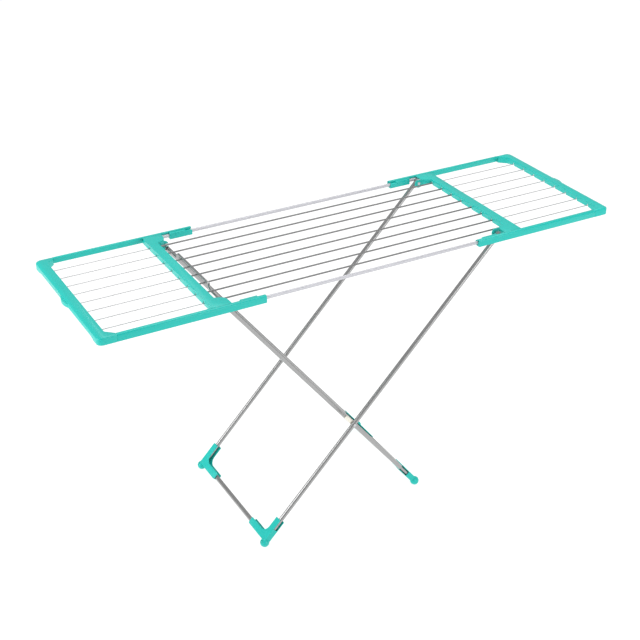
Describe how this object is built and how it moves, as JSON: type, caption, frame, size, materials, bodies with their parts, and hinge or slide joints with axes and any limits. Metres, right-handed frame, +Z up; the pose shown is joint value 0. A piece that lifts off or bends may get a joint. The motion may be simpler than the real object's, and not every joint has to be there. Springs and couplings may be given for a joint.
{
  "type": "clothes drying rack",
  "caption": "Free-standing folding clothes drying rack with rods across the middle, two wings that slide out on side tubes, and crossed tubular legs.",
  "frame": {"origin": "on the floor under the middle of the rack, both wings pulled out", "axes": "+X along the rack towards the right wing, +Y across it towards the rear, +Z up"},
  "size_m": [1.856, 0.575, 0.961],
  "materials": {
    "teal_plastic": "moulded polypropylene, satin, fine grain",
    "cream_plastic": "natural nylon",
    "grey_paint": "grey powder coat on steel tube",
    "rod_paint": "grey coating on thin steel tube",
    "pale_paint": "pale grey lacquer on steel tube",
    "bright_wire": "light grey coated steel wire",
    "zinc": "zinc plated steel"
  },
  "bodies": {
    "middle_frame": {"front_leg_pin": "zinc", "front_side_tube": "pale_paint", "left_crossbar": "teal_plastic", "rear_leg_pin": "zinc", "rear_side_tube": "pale_paint", "right_crossbar": "teal_plastic", "rod_1": "rod_paint", "rod_2": "rod_paint", "rod_3": "rod_paint", "rod_4": "rod_paint", "rod_5": "rod_paint", "rod_6": "rod_paint", "rod_7": "rod_paint", "rod_8": "rod_paint"},
    "left_wing": {"left_end_bar": "teal_plastic", "left_front_bush": "teal_plastic", "left_front_rail": "teal_plastic", "left_rear_bush": "teal_plastic", "left_rear_rail": "teal_plastic", "left_wire_1": "bright_wire", "left_wire_2": "bright_wire", "left_wire_3": "bright_wire", "left_wire_4": "bright_wire", "left_wire_5": "bright_wire", "left_wire_6": "bright_wire", "left_wire_7": "bright_wire", "left_wire_8": "bright_wire"},
    "right_wing": {"right_end_bar": "teal_plastic", "right_front_bush": "teal_plastic", "right_front_rail": "teal_plastic", "right_rear_bush": "teal_plastic", "right_rear_rail": "teal_plastic", "right_wire_1": "bright_wire", "right_wire_2": "bright_wire", "right_wire_3": "bright_wire", "right_wire_4": "bright_wire", "right_wire_5": "bright_wire", "right_wire_6": "bright_wire", "right_wire_7": "bright_wire", "right_wire_8": "bright_wire"},
    "top_bar_slider": {"top_bar": "grey_paint", "front_bar_cap": "teal_plastic", "rear_bar_cap": "teal_plastic"},
    "left_legs": {"left_foot_tube": "grey_paint", "left_front_elbow": "teal_plastic", "left_front_leg_tube": "grey_paint", "left_rear_elbow": "teal_plastic", "left_rear_leg_tube": "grey_paint", "front_crossing_spacer": "cream_plastic", "rear_crossing_spacer": "cream_plastic"},
    "right_legs": {"right_foot_tube": "grey_paint", "right_front_elbow": "teal_plastic", "right_front_leg_tube": "grey_paint", "right_rear_elbow": "teal_plastic", "right_rear_leg_tube": "grey_paint", "front_crossing_rivet": "zinc", "rear_crossing_rivet": "zinc"}
  },
  "joints": [
    {"name": "left_wing_slide", "type": "slide", "parent": "middle_frame", "child": "left_wing", "axis": [1, 0, 0], "range_m": [0, 0.3]},
    {"name": "right_wing_slide", "type": "slide", "parent": "middle_frame", "child": "right_wing", "axis": [-1, 0, 0], "range_m": [0, 0.3]},
    {"name": "fold_slide", "type": "slide", "parent": "middle_frame", "child": "top_bar_slider", "axis": [1, 0, 0], "range_m": [0, 0.88]},
    {"name": "left_leg_hinge", "type": "hinge", "parent": "top_bar_slider", "child": "left_legs", "pos_m": [-0.5, 0, 0.936], "axis": [0, 1, 0], "range_deg": [0, 122]},
    {"name": "right_leg_hinge", "type": "hinge", "parent": "middle_frame", "child": "right_legs", "pos_m": [0.4865, 0, 0.947], "axis": [0, 1, 0], "range_deg": [0, 42]}
  ],
  "couplings": [
    {"joint": "left_leg_hinge", "follows": "fold_slide", "rad_per_m": 2.4186},
    {"joint": "right_leg_hinge", "follows": "fold_slide", "rad_per_m": 0.83218}
  ]
}
